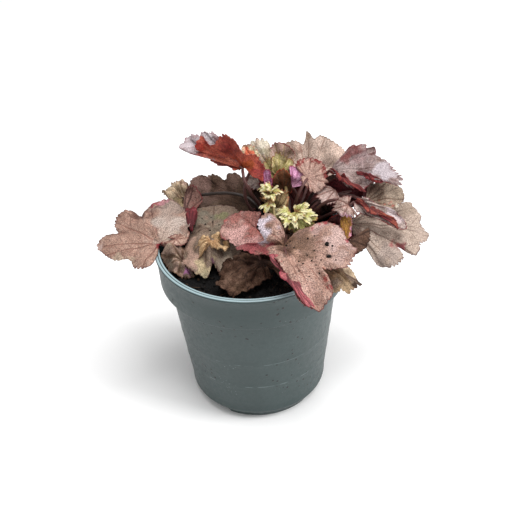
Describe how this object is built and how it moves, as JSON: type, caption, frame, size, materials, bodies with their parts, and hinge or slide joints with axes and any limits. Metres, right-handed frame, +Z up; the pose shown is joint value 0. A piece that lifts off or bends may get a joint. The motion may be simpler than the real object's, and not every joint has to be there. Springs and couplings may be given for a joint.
{
  "type": "potted heuchera plant",
  "caption": "Heuchera plant in a round nursery pot: a low mound of lobed, pleated leaves in bronze, rose and plum on thin stalks, rising from a woody crown in dark compost.",
  "frame": {"origin": "centre of the pot's base, on the flat pad that stands on the surface, on the pot's axis", "axes": "+Z up along the pot's axis; -Y towards the side that the plant is seen from; +X to the right from there"},
  "size_m": [0.2059, 0.1437, 0.1766],
  "materials": {
    "pot": "matt grey-green moulded plastic",
    "compost": "moist, dark and crumbly",
    "crown": "matt and fibrous",
    "leaf_far_left": "soft sheen, pleated along the veins",
    "leaf_left_dried": "dry, matt and creased",
    "leaf_left_folded": "soft sheen, pleated along the veins",
    "leaf_back_left_dark": "soft sheen, pleated along the veins",
    "leaf_front_left": "soft sheen, pleated along the veins",
    "leaf_front_rosy": "soft sheen, pleated along the veins",
    "leaf_front_right": "soft sheen, pleated along the veins",
    "leaf_right_low": "soft sheen, pleated along the veins",
    "leaf_right": "soft sheen, pleated along the veins",
    "leaf_back_right": "soft sheen, pleated along the veins",
    "leaf_right_back_low": "soft sheen, pleated along the veins",
    "leaf_back": "soft sheen, pleated along the veins",
    "leaf_back_left_arching": "soft sheen, pleated along the veins",
    "leaf_back_middle": "soft sheen, pleated along the veins",
    "leaf_lilac": "soft sheen, pleated along the veins",
    "leaf_middle_red_edged": "soft sheen, pleated along the veins",
    "leaf_right_maroon": "soft sheen, pleated along the veins",
    "leaf_right_small_upper": "soft sheen, pleated along the veins",
    "leaf_right_small_lower": "soft sheen, pleated along the veins",
    "leaf_right_orange_edged": "soft sheen, pleated along the veins",
    "leaf_ochre": "soft sheen, pleated along the veins",
    "leaf_dead_on_soil": "dry, matt and creased",
    "leaf_left_low": "soft sheen, pleated along the veins",
    "leaf_middle_orange": "soft sheen, pleated along the veins",
    "leaf_middle_curled": "soft sheen, pleated along the veins",
    "leaf_middle_rust": "soft sheen, pleated along the veins",
    "leaf_right_dead": "dry, matt and creased",
    "leaf_right_dark": "soft sheen, pleated along the veins",
    "leaf_back_dark": "soft sheen, pleated along the veins",
    "shoot_front": "soft, young and frilled",
    "shoot_middle": "soft, young and frilled",
    "shoot_back": "soft, young and frilled"
  },
  "bodies": {
    "root": {"pot": "pot", "compost": "compost", "crown": "crown", "leaf_far_left": "leaf_far_left", "leaf_left_dried": "leaf_left_dried", "leaf_left_folded": "leaf_left_folded", "leaf_back_left_dark": "leaf_back_left_dark", "leaf_front_left": "leaf_front_left", "leaf_front_rosy": "leaf_front_rosy", "leaf_front_right": "leaf_front_right", "leaf_right_low": "leaf_right_low", "leaf_right": "leaf_right", "leaf_back_right": "leaf_back_right", "leaf_right_back_low": "leaf_right_back_low", "leaf_back": "leaf_back", "leaf_back_left_arching": "leaf_back_left_arching", "leaf_back_middle": "leaf_back_middle", "leaf_lilac": "leaf_lilac", "leaf_middle_red_edged": "leaf_middle_red_edged", "leaf_right_maroon": "leaf_right_maroon", "leaf_right_small_upper": "leaf_right_small_upper", "leaf_right_small_lower": "leaf_right_small_lower", "leaf_right_orange_edged": "leaf_right_orange_edged", "leaf_ochre": "leaf_ochre", "leaf_dead_on_soil": "leaf_dead_on_soil", "leaf_left_low": "leaf_left_low", "leaf_middle_orange": "leaf_middle_orange", "leaf_middle_curled": "leaf_middle_curled", "leaf_middle_rust": "leaf_middle_rust", "leaf_right_dead": "leaf_right_dead", "leaf_right_dark": "leaf_right_dark", "leaf_back_dark": "leaf_back_dark", "shoot_front": "shoot_front", "shoot_middle": "shoot_middle", "shoot_back": "shoot_back"}
  },
  "joints": []
}
